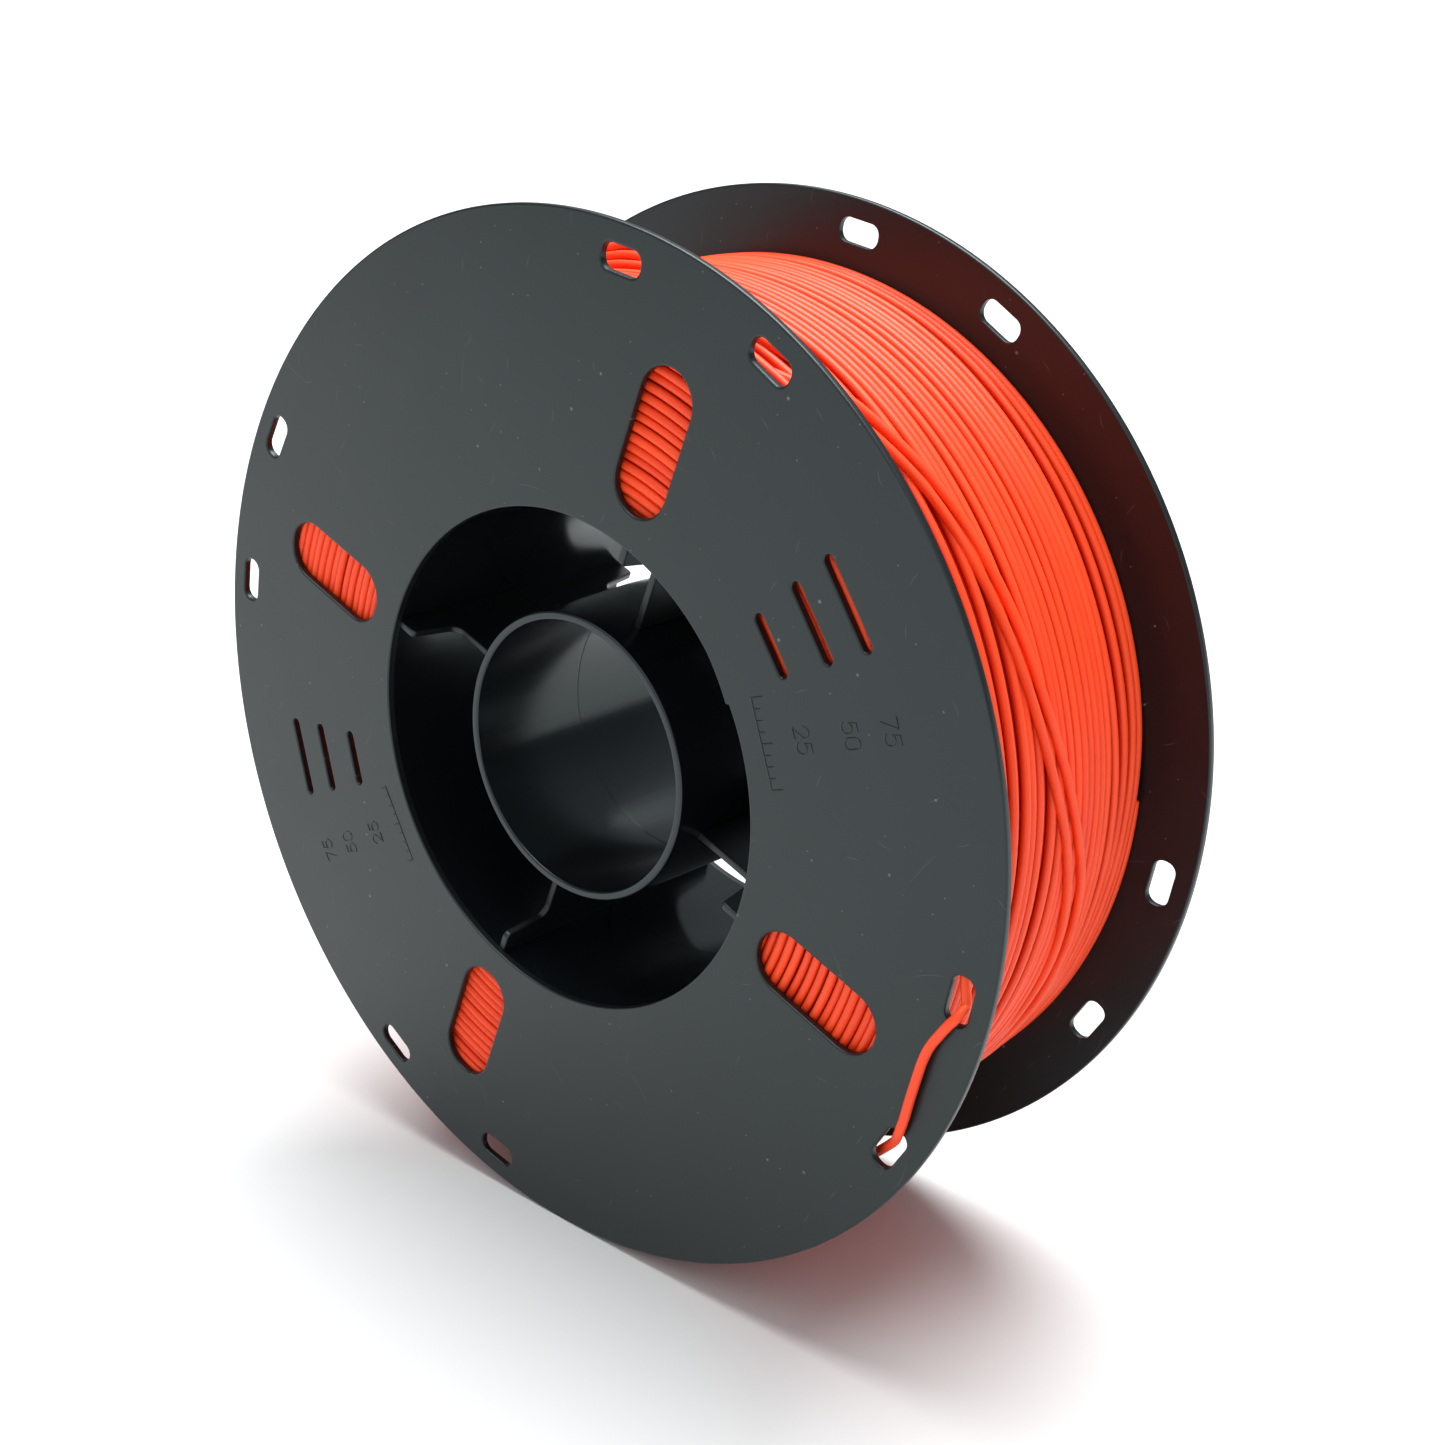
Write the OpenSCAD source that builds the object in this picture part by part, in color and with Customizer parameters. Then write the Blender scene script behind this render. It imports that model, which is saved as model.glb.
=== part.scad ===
// Filament spool: two identical moulded halves that meet at mid-width, one filament wound
// on the drum, and the filament's free end threaded through two slots of the near flange.
// Frame: origin at the bore's centre at mid-width, +Y along the axis away from the near
// flange, +Z up. Each half is drawn in its own frame, seen square on to its flange, with
// local +z outward along the axis; angles run anticlockwise from +X in that view.

/* [Flange] */
// Outside diameter of both flanges
flange_d = 200; // [190:1:210]
// Thickness of a flange plate
flange_t = 1.5; // [1.2:0.1:2.5]
// Overall width over the two flanges' outer faces
spool_w = 64.4; // [60:0.2:72]

/* [Drum and hub] */
// Inside diameter of the drum, which is also the flange's central opening
drum_bore_d = 96.2; // [94:0.2:98]
// Wall thickness of the drum
drum_wall = 2.3; // [1.8:0.1:3]
// Diameter of the bore that turns on a holder
bore_d = 52.8; // [50:0.1:54]
// Wall thickness of the hub tube at its mouth
hub_wall = 1.7; // [1.4:0.1:2.2]
// How much thicker the hub tube's wall is at mid-width, from mould draft
hub_draft = 0.5; // [0:0.1:0.8]
// How far the hub tube's mouth lies below the flange's face
hub_recess = 4.6; // [2:0.2:8]

/* [Ribs] */
// Thickness of a rib between the hub tube and the drum
rib_t = 1.5; // [1.2:0.1:2]
// Depth of a rib's inner shelf below the flange's face
shelf_depth = 11.5; // [8:0.5:16]
// Depth of a rib's outer end below the flange's face
rib_end_depth = 1.2; // [0.6:0.1:2]
// Radius at which the shelf ends and the slanted step starts
shelf_r = 42.4; // [38:0.2:43]
// Radius at which the slanted step reaches the rib's outer end
step_r = 44; // [43.5:0.1:46]

/* [Windows and slots] */
// Angle of the first window and rib; the others follow every quarter turn
window_angle = 68; // [0:1:89]
// Distance of a window's centre from the axis
window_r = 68.1; // [66:0.1:70]
// End-to-end length of a window, along the radius
window_l = 27.3; // [20:0.1:30]
// Width of a window
window_w = 11.9; // [8:0.1:14]
// Distance of a rim slot's centre from the axis
rim_slot_r = 94; // [93:0.1:95]
// Angle between a rim slot and the window beside it
rim_slot_step = 10.6; // [9:0.1:14]
// Extra angle by which the two pairs of rim slots opposite the gauges stand apart from each other
rim_slot_spread = 1.1; // [0:0.1:2]
// End-to-end length of a rim slot, along the rim
rim_slot_l = 9.1; // [8:0.1:11]
// Width of a rim slot
rim_slot_w = 4.5; // [4:0.1:5.4]
// Corner radius of a rim slot
rim_slot_corner = 2; // [1:0.1:2]
// Angle from a window to the gauge slots beside it
gauge_step = 35; // [25:1:40]
// Width of a gauge slot
gauge_w = 1.9; // [1.5:0.1:2.4]

/* [Filament] */
// Diameter of the filament
filament_d = 1.75; // [1.7:0.05:1.8]
// Outside radius of the wound filament
winding_r = 87; // [86:0.5:88]

/* [Hidden] */
$fn = 128;

flange_r = flange_d / 2;
face_z = spool_w / 2;              // a flange's outer face, from mid-width
inner_z = face_z - flange_t;       // the same flange's inner face
drum_ri = drum_bore_d / 2;
drum_ro = drum_ri + drum_wall;
bore_r = bore_d / 2;
hub_ro = bore_r + hub_wall;
hub_mouth_z = face_z - hub_recess;
shelf_z = face_z - shelf_depth;
rib_end_z = face_z - rib_end_depth;
gauge_mirror = window_angle + 45;  // the two gauges are mirror images about this angle
gauge_lengths = [11.4, 14.4, 16.7];
gauge_radii = [62, 72, 80.4];
step_angles = [27, 41];            // the small wedge on the opening's edge: its tip and root
step_h = 0.7;                      // the wedge's height at its tip
step_root = 0.4;                   // how far inside the plate its root lies
step_back = 1.5;                   // how far inside the plate its back lies
step_cover = 0.4;                  // how far its sides keep below the plate's faces
edge = 0.3;                        // chamfer on the flange's and the hub tube's edges
eps = 0.01;
plastic = "#2b3032";
filament = "#fa5030";

// A point in the spool's frame from its distance to the axis, its angle and its y
function polar(r, a, y) = [r * cos(a), y, r * sin(a)];

// The free end's route, from the top of the winding out through one rim slot, down over
// the near face and in again through the next one
tail_face_y = -face_z - filament_d / 2 - 0.05;
tail_start_r = winding_r + filament_d / 2 + 0.05;
tail_points = [
    polar(tail_start_r, 17.3, -27.7),
    polar(tail_start_r, 11.8, -27.9),
    polar(88.6, 4.3, -28.4),
    polar(90.6, -3.1, -29.2),
    polar(92.9, -8.6, -29.9),
    [92.7, -30.4, -17.8],
    [92.9, -31.6, -18.5],
    [92.6, tail_face_y + 0.2, -19.5],
    [91.5, tail_face_y - 0.3, -21.0],
    [90.0, tail_face_y - 0.3, -23.2],
    [88.3, tail_face_y - 0.3, -25.9],
    [87.0, tail_face_y - 0.3, -29.0],
    [85.9, tail_face_y - 0.3, -33.0],
    [84.8, tail_face_y - 0.3, -37.3],
    [83.8, tail_face_y - 0.2, -41.4],
    [82.7, tail_face_y + 0.1, -44.6],
    [81.5, -31.9, -46.6],
    [80.1, -30.4, -48.4],
    [77.7, -28.9, -51.0],
    [74.4, -27.7, -54.3],
    [70.4, -26.9, -58.0],
    [66.2, -26.4, -61.7]
];

// --- Sweep of a round strand along a list of points ---

function unit(v) = v / norm(v);
function tangent(p, i) = unit(p[min(i + 1, len(p) - 1)] - p[max(i - 1, 0)]);
function side_of(t) = unit(cross(t, abs(t.y) < 0.9 ? [0, 1, 0] : [0, 0, 1]));
function carry(s, t) = unit(s - t * (s * t));
function sides(p, i = 0, s = undef) =
    i == len(p) ? [] :
    let (n = carry(is_undef(s) ? side_of(tangent(p, 0)) : s, tangent(p, i)))
    concat([n], sides(p, i + 1, n));
function catmull(a, b, c, d, u) =
    0.5 * (2 * b + (c - a) * u + (2 * a - 5 * b + 4 * c - d) * u * u
        + (3 * b - a - 3 * c + d) * u * u * u);
function smooth(p, steps) = [
    for (i = [0 : len(p) - 2], k = [0 : steps - 1])
        catmull(p[max(i - 1, 0)], p[i], p[i + 1], p[min(i + 2, len(p) - 1)], k / steps),
    p[len(p) - 1]
];

module strand(points, d, facets = 8) {
    route = smooth(points, 3);
    across = sides(route);
    rings = len(route);
    verts = [
        for (i = [0 : rings - 1], k = [0 : facets - 1])
            let (t = tangent(route, i), s = across[i], a = 360 * k / facets)
            route[i] + d / 2 * (cos(a) * s + sin(a) * cross(t, s))
    ];
    walls = [
        for (i = [0 : rings - 2], k = [0 : facets - 1])
            let (n = (k + 1) % facets)
            [i * facets + k, (i + 1) * facets + k, (i + 1) * facets + n, i * facets + n]
    ];
    first_cap = [for (k = [0 : facets - 1]) k];
    last_cap = [for (k = [facets - 1 : -1 : 0]) (rings - 1) * facets + k];
    polyhedron(verts, concat(walls, [first_cap, last_cap]));
}

// --- The frames of the two halves ---

module near_half() {
    rotate([90, 0, 0]) children();
}

// The far half is the same moulding turned over about the gauges' mirror line
module far_half() {
    near_half() rotate(a = 180, v = [cos(gauge_mirror), sin(gauge_mirror), 0]) children();
}

module at_angle(a, r) {
    rotate(a) translate([r, 0]) children();
}

// --- 2D outlines of the openings ---

module obround(l, w) {
    square([l - w, w], center = true);
    for (s = [-1, 1]) translate([s * (l - w) / 2, 0]) circle(d = w);
}

module rounded_slot(l, w, corner) {
    square([l, w - 2 * corner], center = true);
    square([l - 2 * corner, w], center = true);
    for (sx = [-1, 1], sy = [-1, 1])
        translate([sx * (l / 2 - corner), sy * (w / 2 - corner)]) circle(r = corner);
}

module gauge_slots(a) {
    for (i = [0 : len(gauge_radii) - 1])
        at_angle(a, gauge_radii[i]) rotate(90) obround(gauge_lengths[i], gauge_w);
}

module flange_openings() {
    for (q = [0 : 3]) {
        a = window_angle + 90 * q;
        at_angle(a, window_r) obround(window_l, window_w);
        lead = [0, 0, -rim_slot_spread, rim_slot_spread][q];
        for (s = [-1, 1])
            at_angle(a + lead + s * rim_slot_step, rim_slot_r)
                rotate(90) rounded_slot(rim_slot_l, rim_slot_w, rim_slot_corner);
    }
    gauge_slots(gauge_mirror + 45 + gauge_step);
    gauge_slots(gauge_mirror - 45 - gauge_step);
}

// Small wedge on the opening's edge that rises to a step
module edge_step() {
    tip = step_angles[0];
    turn = step_angles[1] - tip;
    rise = step_h + step_root;
    polygon([
        for (i = [0 : 4])
            let (a = tip + turn * i / 4, r = drum_ri - step_h + rise * i / 4)
            [r * cos(a), r * sin(a)],
        (drum_ri + step_back) * [cos(tip + turn), sin(tip + turn)],
        (drum_ri + step_back) * [cos(tip), sin(tip)]
    ]);
}

// --- Sub-parts of one half, in its own frame ---

module flange() {
    difference() {
        rotate_extrude() polygon([
            [drum_ri, inner_z],
            [flange_r - edge, inner_z],
            [flange_r, inner_z + edge],
            [flange_r, face_z - edge],
            [flange_r - edge, face_z],
            [drum_ri + edge, face_z],
            [drum_ri, face_z - edge]
        ]);
        translate([0, 0, inner_z - 1]) linear_extrude(flange_t + 2) flange_openings();
    }
    translate([0, 0, inner_z + step_cover]) linear_extrude(flange_t - 2 * step_cover) edge_step();
}

module drum() {
    rotate_extrude() translate([drum_ri, 0]) square([drum_wall, inner_z]);
}

module hub_tube() {
    rotate_extrude() polygon([
        [bore_r, 0],
        [hub_ro + hub_draft, 0],
        [hub_ro, hub_mouth_z - edge],
        [hub_ro - edge, hub_mouth_z],
        [bore_r + edge, hub_mouth_z],
        [bore_r, hub_mouth_z - edge]
    ]);
}

module rib(number) {
    difference() {
        rotate(window_angle + 90 * (number - 1))
            rotate([90, 0, 0]) translate([0, 0, -rib_t / 2]) linear_extrude(rib_t) polygon([
                [bore_r + eps, 0],
                [drum_ri - eps, 0],
                [drum_ri - eps, rib_end_z],
                [step_r, rib_end_z],
                [shelf_r, shelf_z],
                [bore_r + eps, shelf_z]
            ]);
        cylinder(h = hub_mouth_z, r1 = hub_ro + hub_draft + eps, r2 = hub_ro + eps);
    }
}

// --- Nodes ---

module near_flange() color(plastic) near_half() flange();
module near_drum() color(plastic) near_half() drum();
module near_hub_tube() color(plastic) near_half() hub_tube();
module near_rib(number) color(plastic) near_half() rib(number);
module far_flange() color(plastic) far_half() flange();
module far_drum() color(plastic) far_half() drum();
module far_hub_tube() color(plastic) far_half() hub_tube();
module far_rib(number) color(plastic) far_half() rib(number);

module filament_winding() {
    color(filament) near_half() rotate_extrude()
        translate([drum_ro, -inner_z]) square([winding_r - drum_ro, 2 * inner_z]);
}

module filament_tail() {
    color(filament) strand(tail_points, filament_d);
}

near_flange();
near_drum();
near_hub_tube();
near_rib(1);  // near_rib_1
near_rib(2);  // near_rib_2
near_rib(3);  // near_rib_3
near_rib(4);  // near_rib_4
far_flange();
far_drum();
far_hub_tube();
far_rib(1);  // far_rib_1
far_rib(2);  // far_rib_2
far_rib(3);  // far_rib_3
far_rib(4);  // far_rib_4
filament_winding();
filament_tail();
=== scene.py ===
"""Looks of a filament spool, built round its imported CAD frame.

Two identical black mouldings meet at mid-width: each is a flange, a drum wall, a hub tube and
four ribs. Orange filament is wound on the drum as real strands, and its free end is threaded
through two slots of the near flange. Shapes are worked out in millimetres and placed in metres.
"""
import math

import bpy
import numpy as np
from mathutils import Matrix, Vector
from mathutils.geometry import delaunay_2d_cdt


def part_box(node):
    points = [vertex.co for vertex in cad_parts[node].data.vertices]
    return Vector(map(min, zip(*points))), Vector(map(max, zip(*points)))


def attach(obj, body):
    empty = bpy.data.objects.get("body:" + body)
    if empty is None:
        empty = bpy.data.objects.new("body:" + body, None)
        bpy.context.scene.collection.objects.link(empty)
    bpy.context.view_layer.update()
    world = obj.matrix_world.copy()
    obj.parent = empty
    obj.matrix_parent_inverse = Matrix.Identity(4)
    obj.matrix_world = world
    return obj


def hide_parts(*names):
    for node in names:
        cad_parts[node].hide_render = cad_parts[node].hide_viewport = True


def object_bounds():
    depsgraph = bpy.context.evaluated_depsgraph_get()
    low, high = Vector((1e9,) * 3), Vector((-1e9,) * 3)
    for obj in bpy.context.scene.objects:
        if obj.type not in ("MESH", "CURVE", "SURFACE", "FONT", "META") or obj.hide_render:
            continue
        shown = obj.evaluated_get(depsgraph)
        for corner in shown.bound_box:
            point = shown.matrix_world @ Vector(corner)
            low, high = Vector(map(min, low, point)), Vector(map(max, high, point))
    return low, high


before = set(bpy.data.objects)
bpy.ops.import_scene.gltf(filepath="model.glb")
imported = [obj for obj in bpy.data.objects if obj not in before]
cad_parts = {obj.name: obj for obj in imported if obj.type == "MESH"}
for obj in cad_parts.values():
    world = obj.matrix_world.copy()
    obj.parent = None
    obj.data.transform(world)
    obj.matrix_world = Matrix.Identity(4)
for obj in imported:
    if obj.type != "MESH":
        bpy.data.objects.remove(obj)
cad_lo, cad_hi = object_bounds()

MM = 0.001
TAU = 2 * math.pi
rng = np.random.default_rng(11)

# --- Sizes in mm, from the frame where it holds them ---


def node_span(node):
    """A CAD node's lowest and highest corner in mm."""
    low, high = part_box(node)
    return low / MM, high / MM


flange_low, flange_high = node_span("near_flange")
FLANGE_R = flange_high.z
FACE = -flange_low.y            # a flange's outer face, from mid-width
INNER = -flange_high.y          # its inner face
DRUM_RO = node_span("near_drum")[1].z
DRUM_WALL, HUB_WALL = 2.3, 1.7
DRUM_RI = DRUM_RO - DRUM_WALL
HUB_MOUTH = -node_span("near_hub_tube")[0].y
HUB_FOOT_R = node_span("near_hub_tube")[1].z
BORE_R = 26.4
HUB_RO = BORE_R + HUB_WALL
WINDING_R = node_span("filament_winding")[1].z

WINDOW_ANGLE = 68
WINDOW_R, WINDOW_L, WINDOW_W = 68.1, 27.3, 11.9
RIM_SLOT_R, RIM_SLOT_L, RIM_SLOT_W, RIM_SLOT_CORNER = 94.0, 9.1, 4.5, 2.0
RIM_SLOT_STEP = 10.6
RIM_SLOT_LEADS = (0, 0, -1.1, 1.1)      # the pairs opposite the gauges stand further apart
GAUGE_MIRROR = WINDOW_ANGLE + 45
GAUGE_ANGLES = (GAUGE_MIRROR - 80, GAUGE_MIRROR + 80)
GAUGE_W = 1.9
GAUGES = ((62.0, 11.4), (72.0, 14.4), (80.4, 16.7))     # radius and length
STEP_TIP, STEP_ROOT, STEP_H = 27, 38, 0.7
RIB_T = 1.5
RIB_END = FACE - 1.2
SHELF = FACE - 11.5
SHELF_R, STEP_R = 42.4, 44.0
EDGE_R = 0.34                   # rounding of the moulding's edges
STRAND_D = 1.75

# --- The camera ---


def make_camera():
    data = bpy.data.cameras.new("camera")
    data.sensor_width = 36
    data.lens = 48.17
    data.shift_x = 0.03402
    data.shift_y = 0.06014
    data.clip_start = 0.01
    data.clip_end = 50
    camera = bpy.data.objects.new("camera", data)
    azimuth, elevation = math.radians(42.874), math.radians(21.845)
    camera.location = (0.2458, -0.26422, 0.12618)
    camera.rotation_euler = (math.pi / 2 - elevation, 0, azimuth)
    bpy.context.scene.collection.objects.link(camera)
    bpy.context.scene.camera = camera


make_camera()

# --- The frames of the two halves: local x, y seen square on to the flange, z outward ---

NEAR_HALF = Matrix.Rotation(math.pi / 2, 4, "X")
mirror_angle = math.radians(GAUGE_MIRROR)
mirror_line = Vector((math.cos(mirror_angle), math.sin(mirror_angle), 0))
HALVES = {
    "near": NEAR_HALF,
    "far": NEAR_HALF @ Matrix.Rotation(math.pi, 4, mirror_line),
}

# --- Mesh helpers: a shape is a pair of vertices in mm and faces ---


def moved(shape, matrix):
    verts, faces = shape
    m = np.array(matrix)
    return verts @ m[:3, :3].T + m[:3, 3], faces


def joined(shapes):
    verts, faces, first = [], [], 0
    for v, f in shapes:
        verts.append(v)
        faces += [[i + first for i in face] for face in f]
        first += len(v)
    return np.vstack(verts), faces


def add_piece(name, shape, material, nodes, sharp=35):
    """Makes a shown piece of a shape in mm, riding on the root body."""
    verts, faces = shape
    mesh = bpy.data.meshes.new(name)
    mesh.from_pydata((verts * MM).tolist(), [], [list(f) for f in faces])
    mesh.validate()
    mesh.shade_smooth()
    mesh.set_sharp_from_angle(angle=math.radians(sharp))
    mesh.materials.append(material)
    piece = bpy.data.objects.new(name, mesh)
    bpy.context.scene.collection.objects.link(piece)
    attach(piece, "root")
    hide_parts(*nodes)
    return piece


def unit(v):
    return v / np.linalg.norm(v, axis=-1, keepdims=True)


def tube(points, radius, sides, ref=None, closed=False, cap=0.0):
    """A round strand along points. ref is a direction across it, or one is carried along.
    cap is how round its ends are, from 0, cut square, to 1, a half sphere."""
    points = np.asarray(points, float)
    ahead = np.roll(points, -1, 0)
    behind = np.roll(points, 1, 0)
    if not closed:
        ahead[-1], behind[0] = points[-1], points[0]
    along = unit(ahead - behind)
    if ref is None:
        across = np.empty_like(points)
        carried = np.array((0.0, 0.0, 1.0))
        if abs(along[0] @ carried) > 0.9:
            carried = np.array((0.0, 1.0, 0.0))
        for i, t in enumerate(along):
            carried = unit(carried - t * (carried @ t))
            across[i] = carried
    else:
        ref = np.broadcast_to(ref, points.shape)
        across = unit(ref - along * np.sum(ref * along, 1, keepdims=True))
    other = np.cross(along, across)
    radii = np.full(len(points), float(radius))
    if cap and not closed:
        turns = np.radians((75, 50, 25))
        reach, shrink = cap * radius * np.sin(turns), np.cos(turns)
        start = points[0] - np.outer(reach, along[0])
        stop = points[-1] + np.outer(reach[::-1], along[-1])
        points = np.vstack((start, points, stop))
        across = np.vstack((across[:1].repeat(3, 0), across, across[-1:].repeat(3, 0)))
        other = np.vstack((other[:1].repeat(3, 0), other, other[-1:].repeat(3, 0)))
        radii = np.concatenate((radius * shrink, radii, radius * shrink[::-1]))
    a = np.arange(sides) * TAU / sides
    ring = (np.cos(a)[None, :, None] * across[:, None] + np.sin(a)[None, :, None] * other[:, None])
    verts = (points[:, None] + radii[:, None, None] * ring).reshape(-1, 3)
    n = len(points)
    i = np.arange(n if closed else n - 1)[:, None] * sides
    k = np.arange(sides)[None, :]
    following = (k + 1) % sides
    up = (i + sides) % (n * sides)
    faces = np.stack((i + k, i + following, up + following, up + k), -1).reshape(-1, 4).tolist()
    if not closed:
        faces.append(list(range(sides - 1, -1, -1)))
        faces.append(list(range((n - 1) * sides, n * sides)))
    return verts, faces


def catmull_rom(points, steps):
    """A smooth line through points, with that many steps between each two."""
    p = np.asarray(points, float)
    p = np.vstack((p[:1], p, p[-1:]))
    u = np.arange(steps)[:, None] / steps
    line = []
    for a, b, c, d in zip(p, p[1:], p[2:], p[3:]):
        line.append(0.5 * (2 * b + (c - a) * u + (2 * a - 5 * b + 4 * c - d) * u**2
                           + (3 * b - a - 3 * c + d) * u**3))
    return np.vstack((*line, p[-1:]))


def arc(centre, radius, start, stop, steps):
    """Points on an arc, angles in degrees, both ends included."""
    a = np.radians(np.linspace(start, stop, steps + 1))
    return np.stack((centre[0] + radius * np.cos(a), centre[1] + radius * np.sin(a)), 1)


def round_corners(corners, steps=5, support=0.0):
    """A closed outline from (x, y, radius) corners, each turned into an arc. support adds a
    point that far beyond each end of an arc, which keeps the flat beside it flat."""
    points = []
    for i, (x, y, radius) in enumerate(corners):
        here = np.array((x, y), float)
        if not radius:
            points.append(here)
            continue
        back = unit(np.array(corners[i - 1][:2], float) - here)
        on = unit(np.array(corners[(i + 1) % len(corners)][:2], float) - here)
        half = math.acos(max(-1, min(1, back @ on))) / 2
        reach = radius / math.tan(half)
        centre = here + unit(back + on) * radius / math.sin(half)
        first, last = here + back * reach - centre, here + on * reach - centre
        start = math.degrees(math.atan2(first[1], first[0]))
        turn = math.degrees(math.atan2(last[1], last[0])) - start
        turn = (turn + 180) % 360 - 180
        if support:
            points.append(here + back * (reach + support))
        points += list(arc(centre, radius, start, start + turn, steps))
        if support:
            points.append(here + on * (reach + support))
    return np.array(points)


def inset(outline, distance):
    """The outline moved to the left of its own direction by distance."""
    step = np.roll(outline, -1, 0) - outline
    left = unit(np.stack((-step[:, 1], step[:, 0]), 1))
    both = unit(left + np.roll(left, 1, 0))
    stretch = np.maximum(np.sum(both * left, 1, keepdims=True), 0.5)
    return outline + both * distance / stretch


def filled(loops):
    """Triangles between the first loop and the clockwise holes, as indices into all points."""
    points = [Vector(p) for loop in loops for p in loop]
    rings, first = [], 0
    for loop in loops:
        ring = list(range(first, first + len(loop)))
        rings.append(ring[::-1] if first else ring)
        first += len(loop)
    found = delaunay_2d_cdt(points, [], rings, 1, 1e-7)
    tris, origins, owners = found[2], found[3], found[5]
    return [[origins[v][0] for v in tri] for tri, owner in zip(tris, owners) if owner == [0]]


def plate(outlines, low, high, edges, steps=4):
    """A flat plate from an anticlockwise outline and clockwise holes. edges gives, for each
    outline, how far its lower and upper edge are rounded."""
    flat_strip = 0.12
    levels = []
    for lower, upper in edges:
        rings = []
        for radius, level, sign in ((upper, high, -1), (lower, low, 1)):
            turns = np.radians(np.linspace(0, 90, steps + 1))
            side = [(radius * (1 - math.sin(t)), level + sign * radius * (1 - math.cos(t)))
                    for t in turns] if radius else [(0.0, level)] * (steps + 1)
            side = [(side[0][0] + flat_strip, level)] + side
            rings += side if sign < 0 else side[::-1]
        levels.append(rings)
    count = len(levels[0])
    verts, faces, first = [], [], 0
    tops, bottoms = [], []
    for outline, rings in zip(outlines, levels):
        n = len(outline)
        for away, level in rings:
            ring = inset(outline, away)
            verts.append(np.column_stack((ring, np.full(n, level))))
        i = np.arange(n)
        following = (i + 1) % n
        for k in range(count - 1):
            upper, lower = first + k * n, first + (k + 1) * n
            if np.allclose(rings[k], rings[k + 1]):
                continue
            faces += np.stack((upper + i, lower + i, lower + following, upper + following),
                              1).tolist()
        tops += list(range(first, first + n))
        bottoms += list(range(first + (count - 1) * n, first + count * n))
        first += count * n
    inner = [inset(outline, rings[0][0]) for outline, rings in zip(outlines, levels)]
    for tri in filled(inner):
        faces.append([tops[v] for v in tri])
        faces.append([bottoms[v] for v in reversed(tri)])
    return welded(np.vstack(verts), faces)


def welded(verts, faces):
    """The shape without the vertices that no face uses, and with doubles as one."""
    _, index, inverse = np.unique(np.round(verts, 6), axis=0, return_index=True,
                                  return_inverse=True)
    inverse = inverse.reshape(-1)
    kept = []
    for face in faces:
        ring = []
        for v in face:
            w = int(inverse[v])
            if w not in ring:
                ring.append(w)
        if len(ring) > 2:
            kept.append(ring)
    used = sorted({v for face in kept for v in face})
    place = {v: i for i, v in enumerate(used)}
    return verts[index][used], [[place[v] for v in face] for face in kept]


def lathe(profile, steps):
    """A closed (radius, height) profile, anticlockwise, turned about the z axis."""
    a = np.arange(steps) * TAU / steps
    n = len(profile)
    verts = np.empty((steps, n, 3))
    verts[..., 0] = np.cos(a)[:, None] * profile[:, 0]
    verts[..., 1] = np.sin(a)[:, None] * profile[:, 0]
    verts[..., 2] = profile[:, 1]
    i = np.arange(steps)[:, None] * n
    k = np.arange(n)[None, :]
    on = (i + n) % (steps * n)
    following = (k + 1) % n
    faces = np.stack((i + k, on + k, on + following, i + following), -1).reshape(-1, 4)
    return verts.reshape(-1, 3), faces.tolist()


# --- Outlines of the flange's openings, clockwise ---


def placed(outline, angle, radius, turn=0):
    """A clockwise copy of an anticlockwise outline, turned and put at a radius and angle."""
    spin, swing = math.radians(turn), math.radians(angle)
    for a, shift in ((spin, radius), (swing, 0)):
        c, s = math.cos(a), math.sin(a)
        outline = outline @ np.array(((c, s), (-s, c))) + (shift, 0)
    return outline[::-1]


def obround(length, width, steps=14):
    reach = (length - width) / 2
    return np.vstack((arc((reach, 0), width / 2, -90, 90, steps),
                      arc((-reach, 0), width / 2, 90, 270, steps)))


def rounded_slot(length, width, corner):
    x, y = length / 2, width / 2
    return round_corners([(x, -y, corner), (x, y, corner), (-x, y, corner), (-x, -y, corner)], 7)


def central_opening():
    """The drum's mouth, with the small wedge on its edge that rises to a step."""
    angles = np.concatenate((np.linspace(STEP_TIP - 360, STEP_TIP - 0.35, 200),
                             np.linspace(STEP_TIP, STEP_ROOT, 9)))
    angles = angles[angles > STEP_ROOT - 360]
    rise = np.where(angles >= STEP_TIP, (STEP_ROOT - angles) / (STEP_ROOT - STEP_TIP), 0)
    radii = DRUM_RI - STEP_H * np.clip(rise, 0, 1)
    a = np.radians(angles)
    return np.stack((radii * np.cos(a), radii * np.sin(a)), 1)[::-1]


def flange_holes():
    holes = []
    for quarter in range(4):
        angle = WINDOW_ANGLE + 90 * quarter
        holes.append(placed(obround(WINDOW_L, WINDOW_W), angle, WINDOW_R))
        for side in (-1, 1):
            slot = rounded_slot(RIM_SLOT_L, RIM_SLOT_W, RIM_SLOT_CORNER)
            turn = angle + RIM_SLOT_LEADS[quarter] + side * RIM_SLOT_STEP
            holes.append(placed(slot, turn, RIM_SLOT_R, 90))
    for angle in GAUGE_ANGLES:
        for radius, length in GAUGES:
            holes.append(placed(obround(length, GAUGE_W, 8), angle, radius, 90))
    return holes


# --- Raised numerals beside the gauge slots: how full the spool is, in percent ---

GLYPH_H, GLYPH_W, GLYPH_GAP = 3.2, 1.9, 0.75
STROKE_R = 0.19


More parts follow.
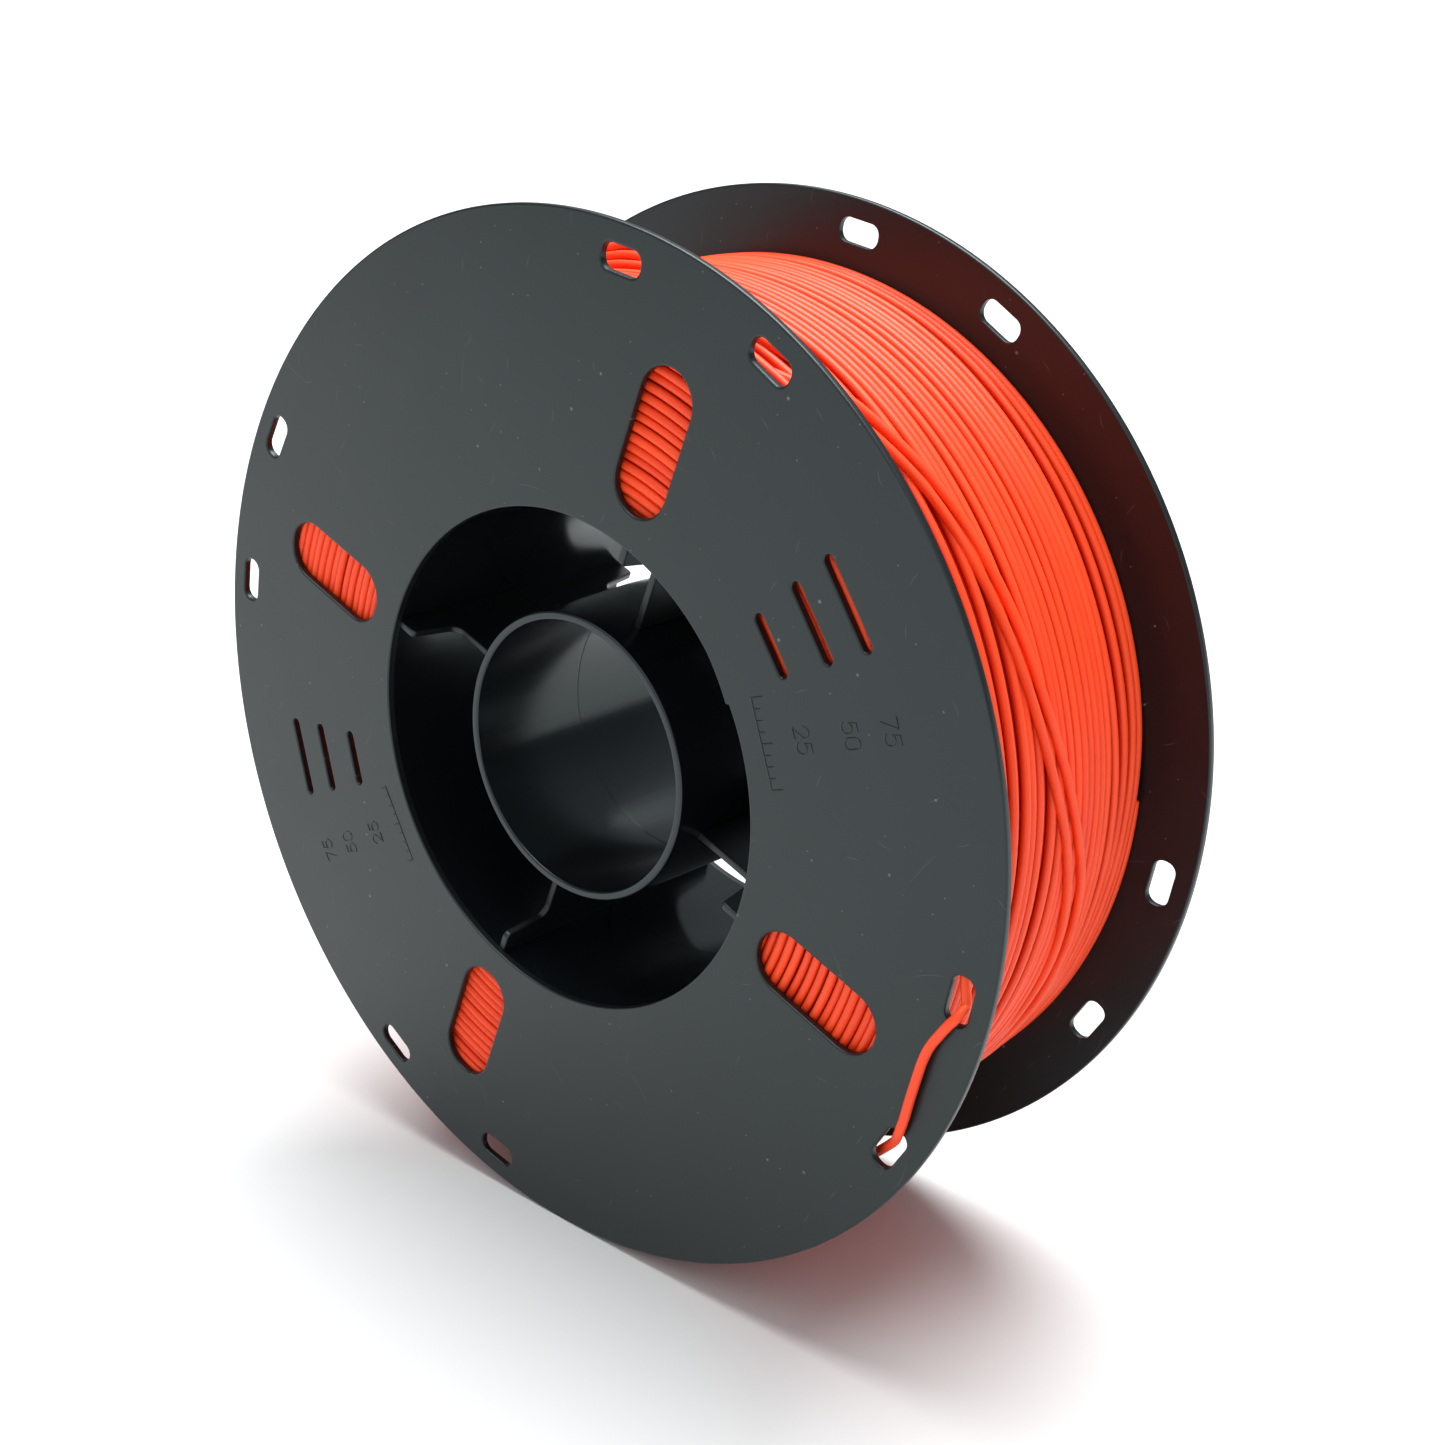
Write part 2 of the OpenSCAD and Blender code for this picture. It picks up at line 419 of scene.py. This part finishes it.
def glyph(digit):
    """A digit's stroke as points in a box of its width and height."""
    w, h = GLYPH_W, GLYPH_H
    bowl = w / 2
    if digit == "0":
        ends = arc((bowl, h - bowl), bowl, 0, 180, 10), arc((bowl, bowl), bowl, 180, 360, 10)
        return np.vstack((*ends, ends[0][:1]))
    if digit == "2":
        top = arc((bowl, h - bowl), bowl, 170, -35, 12)
        return np.vstack((top, [(0, 0)], [(w, 0)]))
    if digit == "5":
        bowl_r = 0.33 * h
        bottom = arc((w - bowl_r, bowl_r), bowl_r, 115, -150, 14)
        return np.vstack(([(w * 0.95, h)], [(w * 0.18, h)], [(w * 0.1, h * 0.56)], bottom))
    return np.array([(0, h), (w, h), (w * 0.3, 0)])


def raised_stroke(line, angle, radius, start):
    """A stroke half sunk into the flange's face, read clockwise with its top outward."""
    a = math.radians(angle)
    on, outward = np.array((math.sin(a), -math.cos(a))), np.array((math.cos(a), math.sin(a)))
    flat = outward * (radius - GLYPH_H / 2) + np.outer(line[:, 0] + start, on) \
        + np.outer(line[:, 1], outward)
    sunk = STROKE_R - 0.13
    points = np.column_stack((flat, np.full(len(flat), FACE - sunk)))
    return tube(points, STROKE_R, 8, ref=(0, 0, 1), cap=1)


def gauge_marks(angle):
    shapes = []
    for (radius, _), label in zip(((62.2, 0), (72.5, 0), (80.8, 0)), ("25", "50", "75")):
        width = len(label) * GLYPH_W + (len(label) - 1) * GLYPH_GAP
        for i, digit in enumerate(label):
            start = i * (GLYPH_W + GLYPH_GAP) - width / 2
            shapes.append(raised_stroke(glyph(digit), angle, radius, start))
    ruler = 16.0
    base = np.column_stack((np.linspace(0, ruler, 5), np.full(5, 0.4)))
    shapes.append(raised_stroke(base, angle, 54.2, -ruler / 2))
    for tick in range(9):
        tall = 2.4 if tick % 4 == 0 else 1.3
        x = ruler * tick / 8
        line = np.array(((x, 0.4), (x, 0.4 + tall / 2), (x, 0.4 + tall)))
        shapes.append(raised_stroke(line, angle, 54.2, -ruler / 2))
    return shapes


# --- Shapes of one half's sub-parts, in its own frame ---


def flange_shape():
    rim = arc((0, 0), FLANGE_R, 0, 360, 288)[:-1]
    holes = flange_holes()
    edges = [(EDGE_R, EDGE_R), (0, EDGE_R)] + [(EDGE_R * 0.6, EDGE_R * 1.1)] * len(holes)
    shapes = [plate([rim, central_opening(), *holes], INNER, FACE, edges)]
    for angle in (GAUGE_MIRROR - 95, GAUGE_MIRROR + 95):
        shapes += gauge_marks(angle)
    return joined(shapes)


def drum_shape():
    seam = 0.12
    profile = round_corners([
        (DRUM_RI, INNER, 0), (DRUM_RI, 0, seam), (DRUM_RO, 0, seam), (DRUM_RO, INNER, 0),
    ], 3, support=0.2)
    return lathe(profile, 256)


def hub_shape():
    seam, lip = 0.12, 0.5
    profile = round_corners([
        (BORE_R, HUB_MOUTH, lip), (BORE_R, 0, seam), (HUB_FOOT_R, 0, seam),
        (HUB_RO, HUB_MOUTH, lip),
    ], 5, support=0.2)
    return lathe(profile, 224)


def rib_shape(angle):
    web = round_corners([
        (HUB_RO - 0.8, 0.05, 0), (DRUM_RI + 0.6, 0.05, 0), (DRUM_RI + 0.6, RIB_END, 0),
        (STEP_R - 0.1, RIB_END, 1.1), (SHELF_R, SHELF, 2.6), (HUB_RO - 0.8, SHELF, 0),
    ], 8)
    shape = plate([web], -RIB_T / 2, RIB_T / 2, [(EDGE_R, EDGE_R)])
    a = math.radians(angle)
    stand = Matrix(((math.cos(a), 0, math.sin(a), 0), (math.sin(a), 0, -math.cos(a), 0),
                    (0, 1, 0, 0), (0, 0, 0, 1)))
    return moved(shape, stand)


# --- Materials ---


class Material:
    """A small writer of shader nodes."""

    def __init__(self, name):
        self.made = bpy.data.materials.new(name)
        self.made.use_nodes = True
        self.tree = self.made.node_tree
        self.tree.nodes.clear()
        self.place = self.add("TexCoord").outputs["Object"]

    def add(self, kind, inputs=None, **settings):
        made = self.tree.nodes.new("ShaderNode" + kind)
        for key, value in settings.items():
            setattr(made, key, value)
        for key, value in (inputs or {}).items():
            if isinstance(value, bpy.types.NodeSocket):
                self.tree.links.new(value, made.inputs[key])
            else:
                made.inputs[key].default_value = value
        return made

    def noise(self, scale, detail=2.0, roughness=0.5, vector=None):
        made = self.add("TexNoise", {"Vector": vector or self.place, "Scale": scale,
                                     "Detail": detail, "Roughness": roughness})
        return made.outputs["Fac"]

    def math(self, operation, a, b=0.0):
        return self.add("Math", {0: a, 1: b}, operation=operation).outputs[0]

    def span(self, value, low, high, to_low=0.0, to_high=1.0):
        """value from low to high, mapped to to_low to to_high and held there beyond."""
        made = self.add("MapRange", {"Value": value, "From Min": low, "From Max": high,
                                     "To Min": to_low, "To Max": to_high})
        return made.outputs["Result"]

    def mix(self, factor, a, b):
        made = self.add("Mix", {0: factor, 6: a, 7: b}, data_type="RGBA")
        return made.outputs[2]

    def polar(self, radial, along, angular):
        """Coordinates round the spool's axis: radius and y in metres and angle in turns, each
        times its factor."""
        part = self.add("SeparateXYZ", {0: self.place}).outputs
        radius = self.math("SQRT", self.math("ADD", self.math("MULTIPLY", part[0], part[0]),
                                             self.math("MULTIPLY", part[2], part[2])))
        angle = self.math("ARCTAN2", part[2], part[0])
        made = self.add("CombineXYZ", {
            0: self.math("MULTIPLY", radius, radial),
            1: self.math("MULTIPLY", part[1], along),
            2: self.math("MULTIPLY", angle, angular)})
        return made.outputs[0]

    def bump(self, height, strength, distance, normal=None):
        inputs = {"Height": height, "Strength": strength, "Distance": distance}
        if normal:
            inputs["Normal"] = normal
        return self.add("Bump", inputs).outputs[0]

    def finish(self, **inputs):
        named = {key.replace("_", " "): value for key, value in inputs.items()}
        shader = self.add("BsdfPrincipled", named)
        out = self.add("OutputMaterial")
        self.tree.links.new(shader.outputs[0], out.inputs["Surface"])
        return self.made


def scattered(m, size, seed):
    """A scatter of cells over the flange: where a point lies from its cell's middle, in cell
    sizes, and the cell's random numbers."""
    part = m.add("SeparateXYZ", {0: m.place}).outputs
    flat = m.add("CombineXYZ", {0: part[0], 1: part[2], 2: 0.0}).outputs[0]
    grid = m.add("Mapping", {"Vector": flat, "Location": (seed, 2 * seed, 0),
                             "Scale": (1 / size, 1 / size, 1)}).outputs[0]
    cells = m.add("TexVoronoi", {"Vector": grid, "Scale": 1.0}, voronoi_dimensions="2D")
    away = m.add("VectorMath", {0: grid, 1: cells.outputs["Position"]}, operation="SUBTRACT")
    lots = m.add("SeparateColor", {0: cells.outputs["Color"]}).outputs
    return away.outputs[0], lots


def hairs(m, size, length, width, share, seed):
    """Short, fine, slightly bent scratches on a share of the cells of a scatter."""
    away, lots = scattered(m, size, seed)
    turn = m.math("MULTIPLY", lots[0], TAU)
    turned = m.add("VectorRotate", {"Vector": away, "Axis": (0, 0, 1), "Angle": turn})
    part = m.add("SeparateXYZ", {0: turned.outputs[0]}).outputs
    bend = m.math("MULTIPLY", m.math("SUBTRACT", lots[1], 0.5), 3.0)
    bow = m.math("MULTIPLY", m.math("MULTIPLY", part[0], part[0]), bend)
    across = m.math("ABSOLUTE", m.math("SUBTRACT", part[1], bow))
    along = m.math("ABSOLUTE", part[0])
    line = m.math("MULTIPLY", m.span(across, 0, width / size, 1, 0),
                  m.span(along, 0.3 * length / size, length / size, 1, 0))
    return m.math("MULTIPLY", line, m.span(lots[2], share, share + 0.001, 1, 0))


def dust(m, size, radius, share, seed):
    """Small soft specks, on a share of the cells of a scatter."""
    away, lots = scattered(m, size, seed)
    reach = m.add("VectorMath", {0: away}, operation="LENGTH").outputs["Value"]
    spread = m.math("MULTIPLY", m.math("ADD", lots[1], 0.5), radius / size)
    dot = m.math("SUBTRACT", 1.0, m.math("DIVIDE", reach, spread))
    dot = m.span(dot, 0.0, 0.6)
    return m.math("MULTIPLY", dot, m.span(lots[0], share, share + 0.001, 1, 0))


def moulded_plastic(name, base, roughness, grain, worn):
    """Black injection-moulded plastic: a fine spark-eroded grain, slow waves from the mould,
    short handling scratches and a little dust."""
    m = Material(name)
    fine = m.noise(5200, 3, 0.6)
    coarse = m.noise(900, 2, 0.5)
    waves = m.noise(9, 1, 0.4)
    lines = m.math("MAXIMUM", hairs(m, 0.011, 0.0016, 0.00011, 0.35, 3.1),
                   hairs(m, 0.023, 0.0045, 0.00009, 0.3, 7.7))
    specks = m.math("MAXIMUM", dust(m, 0.008, 0.00028, 0.12, 1.3),
                    dust(m, 0.004, 0.00014, 0.12, 5.9))
    tone = m.mix(m.span(waves, 0.35, 0.65), (*[c * 0.93 for c in base], 1),
                 (*[c * 1.08 for c in base], 1))
    tone = m.mix(m.math("MULTIPLY", lines, 0.16 * worn), tone, (0.30, 0.31, 0.32, 1))
    tone = m.mix(m.math("MULTIPLY", specks, 0.22 * worn), tone, (0.5, 0.5, 0.48, 1))
    patches = m.span(m.noise(45, 3, 0.6), 0.3, 0.7, roughness - 0.02, roughness + 0.02)
    rough = m.math("ADD", patches,
                   m.math("MULTIPLY", m.math("MAXIMUM", lines, specks), 0.12 * worn))
    normal = m.bump(waves, 0.10, 0.0006)
    normal = m.bump(coarse, 0.08 * grain, 0.00005, normal)
    normal = m.bump(fine, 0.30 * grain, 0.00001, normal)
    return m.finish(Base_Color=tone, Roughness=rough, Normal=normal, IOR=1.5,
                    Specular_Tint=(0.84, 0.98, 1.0, 1.0))


def drawn_plastic(name, base, roughness):
    """The glossier black of the hub tube and drum, with very faint draw marks along the axis."""
    m = Material(name)
    streaks = m.noise(1.0, 2, 0.5, m.polar(60, 5, 22))
    rough = m.span(streaks, 0.3, 0.7, roughness - 0.015, roughness + 0.02)
    tone = m.mix(m.span(m.noise(30, 2, 0.5), 0.3, 0.7), (*[c * 0.9 for c in base], 1),
                 (*[c * 1.1 for c in base], 1))
    normal = m.bump(streaks, 0.05, 0.00005)
    return m.finish(Base_Color=tone, Roughness=rough, Normal=normal, IOR=1.5,
                    Specular_Tint=(0.84, 0.98, 1.0, 1.0))


def extruded_filament(name):
    """Orange-red filament: faint die lines along the strand and slight shifts of tone from strand
    to strand. Deep in the grooves of the winding, painted shade darkens the colour to a deeper
    red."""
    m = Material(name)
    lines = m.noise(1.0, 2, 0.6, m.polar(5200, 5200, 6))
    shifts = m.noise(1.0, 2, 0.5, m.polar(420, 420, 1.2))
    tone = m.mix(m.span(shifts, 0.3, 0.7), (0.88, 0.052, 0.007, 1), (0.97, 0.072, 0.012, 1))
    tone = m.mix(m.span(lines, 0.35, 0.75, 0, 0.2), tone, (1.0, 0.10, 0.018, 1))
    part = m.add("SeparateXYZ", {0: m.polar(1 / MM, 1 / MM, 1)}).outputs
    # painted groove shade: below the winding's outer surface and away from the flanges, the colour
    # is mixed towards a deeper red
    outer = m.span(part[0], WINDING_R - 1.2, WINDING_R - 0.05)
    beside = m.span(m.math("ABSOLUTE", part[1]), INNER - 1.7, INNER - 0.7)
    tone = m.mix(m.math("MAXIMUM", outer, beside), (0.66, 0.014, 0.0015, 1), tone)
    rough = m.span(lines, 0.3, 0.7, 0.40, 0.50)
    normal = m.bump(lines, 0.20, 0.00003)
    normal = m.bump(m.noise(2600, 2, 0.5), 0.10, 0.00002, normal)
    return m.finish(Base_Color=tone, Roughness=rough, Normal=normal, IOR=1.42)


BLACK = (0.0040, 0.0050, 0.0056)
FLANGE_PLASTIC = moulded_plastic("flange_plastic", BLACK, 0.36, 1.0, 1.0)
RIB_PLASTIC = moulded_plastic("rib_plastic", BLACK, 0.34, 0.6, 0.3)
DRUM_PLASTIC = drawn_plastic("drum_plastic", (0.003, 0.004, 0.005), 0.15)
HUB_PLASTIC = drawn_plastic("hub_plastic", (0.0035, 0.0045, 0.0055), 0.2)
FILAMENT = extruded_filament("filament")

# --- The two mouldings ---


def build_half(side):
    half, slot = HALVES[side], side + "_moulding"
    add_piece(side + "_flange_plate", moved(flange_shape(), half), FLANGE_PLASTIC,
              [side + "_flange"])
    add_piece(side + "_drum_wall", moved(drum_shape(), half), DRUM_PLASTIC,
              [side + "_drum"])
    add_piece(side + "_hub_sleeve", moved(hub_shape(), half), HUB_PLASTIC,
              [side + "_hub_tube"])
    for number in range(1, 5):
        angle = WINDOW_ANGLE + 90 * (number - 1)
        add_piece(f"{side}_rib_{number}_web", moved(rib_shape(angle), half), RIB_PLASTIC,
                  [f"{side}_rib_{number}"])


for side in HALVES:
    build_half(side)

# --- The winding ---

SAMPLES = 240                   # points on each turn
EDGE_Y = INNER - STRAND_D / 2 - 0.02    # the centre of a strand that touches a flange
TOP_R = WINDING_R - STRAND_D / 2        # the centre of a strand in the top layer
UNDER_R = TOP_R - 1.5


def wander(turns, spread, kinship, harmonics=5, falloff=1.0):
    """Smooth, random shifts along a run of turns, alike on neighbouring turns. kinship is over
    how many turns they stay alike."""
    knots = turns + 2
    reach = np.arange(-3 * int(kinship + 1), 3 * int(kinship + 1) + 1)
    kernel = np.exp(-0.5 * (reach / kinship) ** 2)
    kernel /= np.sqrt(np.sum(kernel**2))
    t = np.arange(turns * SAMPLES) / SAMPLES
    shift = np.zeros_like(t)
    for k in range(1, harmonics + 1):
        for phase in (np.cos, np.sin):
            raw = rng.normal(size=knots + len(reach) - 1)
            level = np.convolve(raw, kernel, "valid")
            shift += np.interp(t, np.arange(knots), level) * phase(TAU * k * t) / k**falloff
    return spread * shift / np.std(shift)


def spaced(y, room, limit, passes=80):
    """The turns pushed apart until neighbours are at least room from each other."""
    y = y.copy()
    for _ in range(passes):
        for _ in range(2):
            short = np.maximum(room - (y[SAMPLES:] - y[:-SAMPLES]), 0) / 2
            y[:-SAMPLES] -= short
            y[SAMPLES:] += short
        y = np.clip(y, -limit, limit)
    return y


def softened(values, reach):
    """A gaussian blur along the strand."""
    span = np.arange(-3 * reach, 3 * reach + 1)
    kernel = np.exp(-0.5 * (span / reach) ** 2)
    kernel /= kernel.sum()
    padded = np.pad(values, 3 * reach, mode="edge")
    return np.convolve(padded, kernel, "valid")


def layer(turns, unevenness, spread, kinship, room, reach):
    """The y of each point of one layer of turns, from the lowest to the highest."""
    gaps = 1 + unevenness * rng.gamma(1.2, 1.0, turns)
    lanes = np.concatenate(([0], np.cumsum(gaps)))
    lanes = -EDGE_Y + 2 * EDGE_Y * lanes / lanes[-2]
    t = np.arange(turns * SAMPLES) / SAMPLES
    y = np.interp(t, np.arange(turns + 1) + 0.0, np.minimum(lanes, EDGE_Y))
    y += wander(turns, spread, kinship) * np.interp(y, (-EDGE_Y, 0, EDGE_Y), (1.15, 0.85, 0.5))
    return softened(spaced(y, room, EDGE_Y), reach)


def strand_line(radius, angle, y):
    return np.stack((radius * np.cos(angle), y, radius * np.sin(angle)), -1)


def wound(y, radius, sense, sides):
    """A strand wound round the axis, with a y and a radius for each point."""
    angle = sense * np.arange(len(y)) * TAU / SAMPLES
    points = strand_line(radius, angle, y)
    outward = strand_line(1.0, angle, np.zeros_like(y))
    return tube(points, STRAND_D / 2, sides, ref=outward, cap=0.4)


def resting_height(y, under_y, under_r):
    """How far out each point of a strand rests on the turns beneath it. Both start at angle 0,
    and the turns beneath run the other way round."""
    turns_under = len(under_y) // SAMPLES
    place = (-np.arange(len(y))) % SAMPLES
    height = np.full(len(y), UNDER_R)
    for turn in range(turns_under):
        index = turn * SAMPLES + place
        away = y - under_y[index]
        rise = np.sqrt(np.maximum(STRAND_D**2 - away**2, 0))
        height = np.maximum(height, np.where(rise > 0, under_r[index] + rise, 0))
    return height


def build_layers():
    under_turns, top_turns = 32, 27
    swell_height, swell_angle = 0.6, math.radians(38)   # the winding is fuller on the far side
    under_y = layer(under_turns, unevenness=0.04, spread=0.5, kinship=2.0,
                    room=STRAND_D * 0.99, reach=5)
    under_r = UNDER_R + np.clip(wander(under_turns, 0.10, 1.5), -0.25, 0.25)
    add_piece("filament_under_turns", wound(under_y, under_r, -1, 8), FILAMENT,
              ["filament_winding"], sharp=60)
    top_y = layer(top_turns, unevenness=0.30, spread=1.5, kinship=1.2,
                  room=STRAND_D * 1.04, reach=5)
    top_r = softened(resting_height(top_y, under_y, under_r), 4)
    rise = wander(top_turns, spread=0.14, kinship=0.6, harmonics=3)
    top_r += np.clip(rise, -0.28, 0.2)
    angle = np.arange(len(top_y)) * TAU / SAMPLES
    swell = np.exp(4.0 * (np.cos(angle - swell_angle) - 1))
    top_r += swell_height * swell * np.clip(top_y / INNER, 0, 1)
    add_piece("filament_top_turns", wound(top_y, top_r, 1, 10), FILAMENT,
              ["filament_winding"], sharp=60)


def build_sides():
    """The turns that lie against each flange, seen through its windows and slots."""
    angle = np.arange(SAMPLES) * TAU / SAMPLES
    outward = strand_line(1.0, angle, np.zeros(SAMPLES))
    shallow, deep, shallow_share = (0, 0.25), (0.3, 0.75), 0.62
    least_gap, usual_gap = 0.04, 0.10
    last_r = WINDING_R - 2.6
    for side, sign in (("near", -1), ("far", 1)):
        radii, depths = [DRUM_RO + STRAND_D / 2], [0.0]
        while radii[-1] < last_r:
            depth = rng.uniform(*(shallow if rng.random() < shallow_share else deep))
            step = math.sqrt(STRAND_D**2 - (depth - depths[-1])**2)
            radii.append(radii[-1] + step + least_gap + rng.exponential(usual_gap))
            depths.append(depth)
        turns = len(radii)
        sway = wander(turns, 0.28, 3.0, 4).reshape(turns, SAMPLES)
        dip = wander(turns, 0.16, 1.0, 5).reshape(turns, SAMPLES)
        sway = seamless(sway)
        dip = seamless(dip)
        shapes = []
        for turn in range(turns):
            y = sign * (EDGE_Y - np.maximum(depths[turn] + dip[turn], 0))
            points = strand_line(radii[turn] + sway[turn], angle, y)
            shapes.append(tube(points, STRAND_D / 2, 8, ref=outward, closed=True))
        add_piece(f"filament_{side}_side_turns", joined(shapes), FILAMENT,
                  ["filament_winding"], sharp=60)


def seamless(rows):
    """Rows that end where they start, by spreading each row's jump over its length."""
    jump = rows[:, -1:] - rows[:, :1]
    return rows - jump * np.linspace(0, 1, rows.shape[1])[None, :]


def build_core():
    """The turns deeper in, as one ribbed ring that shows only in the gaps."""
    ribs = 30
    side_y, top_r = EDGE_Y - 1.9, UNDER_R - 1.2
    t = np.linspace(0, 1, ribs * 4 + 1)
    swell = 0.35 * np.abs(np.sin(np.pi * ribs * t))
    across = np.column_stack((top_r + swell, -side_y + 2 * side_y * t))
    up = np.column_stack((top_r + (DRUM_RO - 0.4 - top_r) * t, side_y + swell))
    down = np.column_stack((up[::-1, 0], -up[::-1, 1]))
    profile = np.vstack((across[:-1], up[:-1], down))[::-1]
    half = Matrix.Rotation(math.pi / 2, 4, "X")
    flipped = profile * (1, -1)
    add_piece("filament_core", moved(lathe(flipped[::-1], 180), half), FILAMENT,
              ["filament_winding"], sharp=60)


def polar_route(stations):
    """Points from (radius, angle in degrees, y)."""
    r, a, y = np.array(stations, float).T
    return strand_line(r, np.radians(a), y)


def build_strays():
    """Two turns that cross the top layer at a slant before they sink into it, and a small
    heap of turns that have slipped over each other at the top."""
    over = TOP_R + 1.62             # a strand's centre where it lies on the top layer
    heap_y, heap_step = -4.0, 1.5
    first = polar_route([
        (TOP_R - 1.6, 86, -19.6), (TOP_R + 0.2, 78, -19.2), (over - 0.3, 70, -18.4),
        (over, 63, -16.9), (over, 57, -14.6), (over, 51, -11.3),
        (over, 43, -7.7), (over, 35.1, -5.2), (over, 25.2, -2.7), (over, 15.3, 0.0),
        (over, 5.3, 4.9), (over, -4.6, 10.5), (over, -11.6, 13.4), (over - 0.1, -19.5, 14.8),
        (over - 0.5, -29.5, 15.9), (TOP_R + 0.3, -42, 16.9), (TOP_R - 0.8, -54, 17.5),
        (TOP_R - 1.8, -64, 17.9)])
    second = polar_route([
        (TOP_R - 1.6, 66, -22.9), (TOP_R + 0.2, 60, -20.3), (over - 0.2, 53.9, -16.9),
        (over - 0.1, 46, -12.2), (over, 38.1, -9.3), (over, 28.2, -6.9), (over, 18.2, -4.2),
        (over, 8.3, -0.5), (over, -1.6, 4.9), (over - 0.1, -11.6, 9.4),
        (over - 0.4, -21.5, 11.4), (TOP_R + 0.4, -33, 12.4), (TOP_R - 0.6, -44, 12.9),
        (TOP_R - 1.8, -56, 13.4)])
    routes = [first, second]
    for sideways, level in ((-1.8, 0), (0, 0), (1.8, 0), (-0.9, 1), (0.9, 1), (0, 2)):
        high = over + heap_step * level
        y = heap_y + sideways + rng.uniform(-0.1, 0.1)
        routes.append(polar_route([
            (TOP_R - 1.6, 130 + 4 * level, y + 3.5), (TOP_R + 0.3, 124 + 3 * level, y + 2.6),
            (high - 0.3, 113, y + 1.2), (high, 106, y + 0.5), (high, 98, y), (high, 92, y - 0.4),
            (over - 0.2, 84, y - 1.2), (TOP_R + 0.4, 77 - 2 * level, y - 2.1),
            (TOP_R - 1.6, 69 - 2 * level, y - 3.0)]))
    shapes = [tube(catmull_rom(route, 8), STRAND_D / 2, 12) for route in routes]
    add_piece("filament_slanted_turns", joined(shapes), FILAMENT, ["filament_winding"],
              sharp=60)


build_layers()
build_sides()
build_core()
build_strays()

# --- The free end: out through one rim slot, down over the near face and in at the next ---

TAIL_FACE = -FACE - STRAND_D / 2 - 0.05
TAIL_START_R = WINDING_R + STRAND_D / 2 + 0.05


def build_tail():
    lead_in = polar_route([
        (TOP_R - 1.8, 50, -29.7), (TOP_R - 0.3, 42, -29.7), (TAIL_START_R - 0.5, 34, -29.2),
        (TAIL_START_R, 26, -28.3)])
    on_top = polar_route([
        (TAIL_START_R, 17.3, -27.7), (TAIL_START_R, 11.8, -27.9), (88.6, 4.3, -28.4),
        (90.6, -3.1, -29.2), (92.9, -8.6, -29.9)])
    threaded = [
        (92.7, -30.4, -17.8), (92.9, -31.6, -18.5), (92.6, TAIL_FACE + 0.2, -19.5),
        (91.5, TAIL_FACE - 0.3, -21.0), (90.0, TAIL_FACE - 0.3, -23.2),
        (88.3, TAIL_FACE - 0.3, -25.9), (87.0, TAIL_FACE - 0.3, -29.0),
        (85.9, TAIL_FACE - 0.3, -33.0), (84.8, TAIL_FACE - 0.3, -37.3),
        (83.8, TAIL_FACE - 0.2, -41.4), (82.7, TAIL_FACE + 0.1, -44.6), (81.5, -31.9, -46.6),
        (80.1, -30.4, -48.4), (77.7, -28.9, -51.0), (74.4, -27.7, -54.3),
        (70.4, -26.9, -58.0), (66.2, -26.4, -61.7)]
    route = catmull_rom(np.vstack((lead_in, on_top, threaded)), 8)
    add_piece("filament_free_end", tube(route, STRAND_D / 2, 16, cap=0.35), FILAMENT,
              ["filament_tail"], sharp=60)


build_tail()

# --- Floor, light and view ---


def paper(name, colour):
    """Plain matt paper whose tone drifts very slightly."""
    m = Material(name)
    drift = m.span(m.noise(3, 2, 0.5), 0.3, 0.7)
    tone = m.mix(drift, (*colour, 1), (*[c * 0.985 for c in colour], 1))
    return m.finish(Base_Color=tone, Roughness=0.7)


def make_floor():
    reach, level = 12.0, cad_lo.z
    mesh = bpy.data.meshes.new("floor")
    signs = ((-1, -1), (1, -1), (1, 1), (-1, 1))
    corners = [(x * reach, y * reach, level) for x, y in signs]
    mesh.from_pydata(corners, [], [(0, 1, 2, 3)])
    mesh.materials.append(paper("floor_paper", (0.60, 0.60, 0.60)))
    floor = bpy.data.objects.new("floor", mesh)
    bpy.context.scene.collection.objects.link(floor)


def add_sky_light(name, towards, width, strength, colour):
    """A soft distant light that fills a disc of the sky, so that it lights the whole floor."""
    data = bpy.data.lights.new(name, "SUN")
    data.angle = math.radians(width)
    data.energy = strength
    data.color = colour
    light = bpy.data.objects.new(name, data)
    light.rotation_euler = (-Vector(towards)).to_track_quat("-Z", "Y").to_euler()
    bpy.context.scene.collection.objects.link(light)


def make_light():
    """A dim room round a white table: the backdrop is white only to the camera."""
    world = bpy.data.worlds.new("studio")
    world.use_nodes = True
    tree = world.node_tree
    background = tree.nodes["Background"]
    path = tree.nodes.new("ShaderNodeLightPath")
    direction = tree.nodes.new("ShaderNodeTexCoord")
    height = tree.nodes.new("ShaderNodeSeparateXYZ")
    tree.links.new(direction.outputs["Generated"], height.inputs[0])
    room, seen = tree.nodes.new("ShaderNodeMix"), tree.nodes.new("ShaderNodeMix")
    for mix, low, high, factor in (
            (room, (0.10, 0.11, 0.12, 1), (0.55, 0.58, 0.60, 1), height.outputs[2]),
            (seen, room, (1.02, 1.02, 1.02, 1), path.outputs["Is Camera Ray"])):
        mix.data_type = "RGBA"
        if mix is room:
            mix.inputs[6].default_value = low
        else:
            tree.links.new(room.outputs[2], mix.inputs[6])
        mix.inputs[7].default_value = high
        tree.links.new(factor, mix.inputs[0])
    tree.links.new(seen.outputs[2], background.inputs["Color"])
    background.inputs["Strength"].default_value = 1.0
    bpy.context.scene.world = world
    add_sky_light("top", (-0.10, 0.20, 0.97), 50, 6.2, (0.99, 1.0, 1.0))
    add_sky_light("right", (0.80, -0.35, 0.48), 80, 0.2, (1.0, 0.99, 0.98))
    add_sky_light("front", (0.10, -0.85, 0.52), 90, 0.9, (1.0, 1.0, 1.0))


make_floor()
make_light()
bpy.context.scene.view_settings.view_transform = "Standard"
